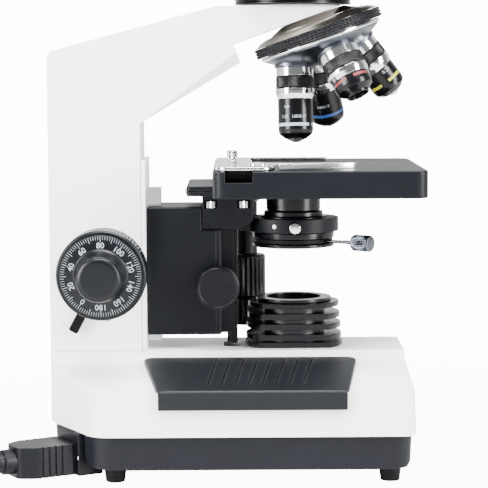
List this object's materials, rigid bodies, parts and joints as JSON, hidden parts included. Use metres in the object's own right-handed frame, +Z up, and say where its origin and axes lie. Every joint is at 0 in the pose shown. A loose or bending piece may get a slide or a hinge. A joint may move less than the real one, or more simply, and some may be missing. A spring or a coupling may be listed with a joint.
{
  "type": "compound microscope",
  "caption": "Laboratory compound microscope with a white stand, sliding stage, condenser, revolving nosepiece, inclined binocular head and a mains lead coiled behind it.",
  "frame": {"origin": "on the optical axis, at the level of the table that the feet stand on; the middle of the box of the instrument without its lead, to within a millimetre", "axes": "+Z up along the optical axis, +X towards the user and the eyepieces, +Y towards the user's right, so the side with the stage control knobs"},
  "size_m": [0.4735, 0.2101, 0.3804],
  "materials": {
    "white_enamel": "satin",
    "black_enamel": "satin",
    "black_plastic": "satin",
    "lever_black": "satin",
    "armrest_rubber": "matte",
    "foot_rubber": "matte",
    "objective_black": "satin",
    "chrome": "polished",
    "steel": "satin",
    "brass": "satin",
    "lens_glass": "polished",
    "circuit_board": "satin",
    "cord_jacket": "satin"
  },
  "bodies": {
    "stand": {"base_cover": "white_enamel", "base_tray": "black_plastic", "foot_front_left": "foot_rubber", "foot_front_right": "foot_rubber", "foot_rear_left": "foot_rubber", "foot_rear_right": "foot_rubber", "armrest_left": "armrest_rubber", "armrest_right": "armrest_rubber", "arm": "white_enamel", "arm_front_plate": "white_enamel", "focus_rail": "steel", "head_ring": "black_enamel", "collector_housing": "black_enamel", "collector_lens": "lens_glass", "lamp_board": "circuit_board", "power_inlet": "black_plastic", "nosepiece_mount": "black_enamel", "cord_connector": "black_plastic", "cord": "cord_jacket", "cord_coil": "cord_jacket", "mains_plug": "black_plastic"},
    "carriage": {"focus_block": "black_enamel", "focus_rack": "brass", "stage_bracket": "black_enamel", "stage_guide": "black_enamel"},
    "coarse_drive": {"coarse_shaft": "steel", "coarse_knob_left": "black_plastic", "coarse_knob_right": "black_plastic"},
    "fine_drive": {"fine_shaft": "steel", "fine_knob_left": "black_plastic", "fine_knob_right": "black_plastic"},
    "tension": {"tension_lever": "lever_black"},
    "stage": {"stage_plate": "black_enamel", "xy_stalk": "black_enamel"},
    "stage_y_drive": {"stage_y_knob": "black_plastic"},
    "stage_x_drive": {"stage_x_knob": "black_plastic"},
    "slide_carrier": {"slide_holder": "chrome", "holder_thumbscrew": "chrome"},
    "finger": {"spring_finger": "chrome"},
    "condenser": {"condenser_rack": "black_enamel", "condenser_holder": "black_enamel", "condenser_barrel": "black_enamel", "condenser_lens": "lens_glass", "condenser_clamp_screw": "chrome"},
    "iris": {"iris_lever": "chrome"},
    "condenser_drive": {"condenser_knob": "black_plastic"},
    "nosepiece": {"nosepiece_ring": "black_enamel", "nosepiece_turret": "chrome", "objective_100x": "objective_black", "objective_40x": "objective_black", "objective_10x": "objective_black", "objective_4x": "objective_black"},
    "head": {"head_housing": "black_enamel"},
    "left_tube": {"eyetube_left": "black_enamel", "eyepiece_left": "black_plastic"},
    "right_tube": {"eyetube_right": "black_enamel", "eyepiece_right": "black_plastic"},
    "diopter": {"diopter_ring": "black_plastic"},
    "brightness": {"brightness_dial": "black_plastic"},
    "power_switch": {"power_rocker": "black_plastic"}
  },
  "joints": [
    {"name": "stage_lift", "type": "slide", "parent": "stand", "child": "carriage", "axis": [0, 0, 1], "range_m": [-0.008, 0.0115]},
    {"name": "coarse_turn", "type": "hinge", "parent": "stand", "child": "coarse_drive", "pos_m": [-0.112, 0, 0.12], "axis": [0, 1, 0], "range_deg": [-123, 86]},
    {"name": "fine_turn", "type": "hinge", "parent": "stand", "child": "fine_drive", "pos_m": [-0.112, 0, 0.12], "axis": [0, 1, 0], "continuous": true},
    {"name": "tension_turn", "type": "hinge", "parent": "stand", "child": "tension", "pos_m": [-0.112, 0, 0.12], "axis": [0, 1, 0], "range_deg": [-20, 25]},
    {"name": "stage_y", "type": "slide", "parent": "carriage", "child": "stage", "axis": [1, 0, 0], "range_m": [-0.012, 0.012]},
    {"name": "stage_y_turn", "type": "hinge", "parent": "stage", "child": "stage_y_drive", "pos_m": [-0.028, 0.05, 0.106], "axis": [0, 0, 1], "range_deg": [-138, 138]},
    {"name": "stage_x", "type": "slide", "parent": "stage", "child": "slide_carrier", "axis": [0, 1, 0], "range_m": [-0.025, 0.025]},
    {"name": "stage_x_turn", "type": "hinge", "parent": "stage", "child": "stage_x_drive", "pos_m": [-0.028, 0.05, 0.084], "axis": [0, 0, 1], "range_deg": [-287, 287]},
    {"name": "finger_open", "type": "hinge", "parent": "slide_carrier", "child": "finger", "pos_m": [-0.022, -0.0565, 0.181], "axis": [0, 0, -1], "range_deg": [0, 28], "stiffness_Nm_per_rad": 0.02, "springref_deg": -17.19},
    {"name": "condenser_lift", "type": "slide", "parent": "carriage", "child": "condenser", "axis": [0, 0, 1], "range_m": [-0.02, 0]},
    {"name": "condenser_turn", "type": "hinge", "parent": "carriage", "child": "condenser_drive", "pos_m": [-0.0458, 0, 0.1074], "axis": [0, 1, 0], "range_deg": [-1, 256]},
    {"name": "iris_turn", "type": "hinge", "parent": "condenser", "child": "iris", "pos_m": [0, 0, 0.1335], "axis": [0, 0, 1], "range_deg": [-20, 70]},
    {"name": "nosepiece_turn", "type": "hinge", "parent": "stand", "child": "nosepiece", "pos_m": [0, 0, 0.301], "axis": [0.3338, 0, -0.9426], "continuous": true},
    {"name": "head_turn", "type": "hinge", "parent": "stand", "child": "head", "pos_m": [0, 0, 0.312], "axis": [0, 0, 1], "continuous": true},
    {"name": "left_tube_swing", "type": "hinge", "parent": "head", "child": "left_tube", "pos_m": [0, 0, 0.312], "axis": [0.866, 0, 0.5], "range_deg": [-20.7, 10.6]},
    {"name": "right_tube_swing", "type": "hinge", "parent": "head", "child": "right_tube", "pos_m": [0, 0, 0.312], "axis": [0.866, 0, 0.5], "range_deg": [-10.6, 20.7]},
    {"name": "diopter_turn", "type": "hinge", "parent": "left_tube", "child": "diopter", "pos_m": [0.0107, -0.032, 0.29346], "axis": [0.866, 0, 0.5], "range_deg": [-150, 150]},
    {"name": "brightness_turn", "type": "hinge", "parent": "stand", "child": "brightness", "pos_m": [0.048, 0.089, 0.041], "axis": [0, 1, 0], "range_deg": [0, 270]},
    {"name": "rocker_press", "type": "hinge", "parent": "stand", "child": "power_switch", "pos_m": [-0.1385, 0, 0.041], "axis": [0, 1, 0], "range_deg": [-12, 0]}
  ],
  "couplings": [
    {"joint": "coarse_turn", "follows": "stage_lift", "rad_per_m": -185.19},
    {"joint": "stage_y_turn", "follows": "stage_y", "rad_per_m": 200},
    {"joint": "stage_x_turn", "follows": "stage_x", "rad_per_m": 200},
    {"joint": "condenser_turn", "follows": "condenser_lift", "rad_per_m": -222.22},
    {"joint": "right_tube_swing", "follows": "left_tube_swing", "ratio": -1}
  ]
}
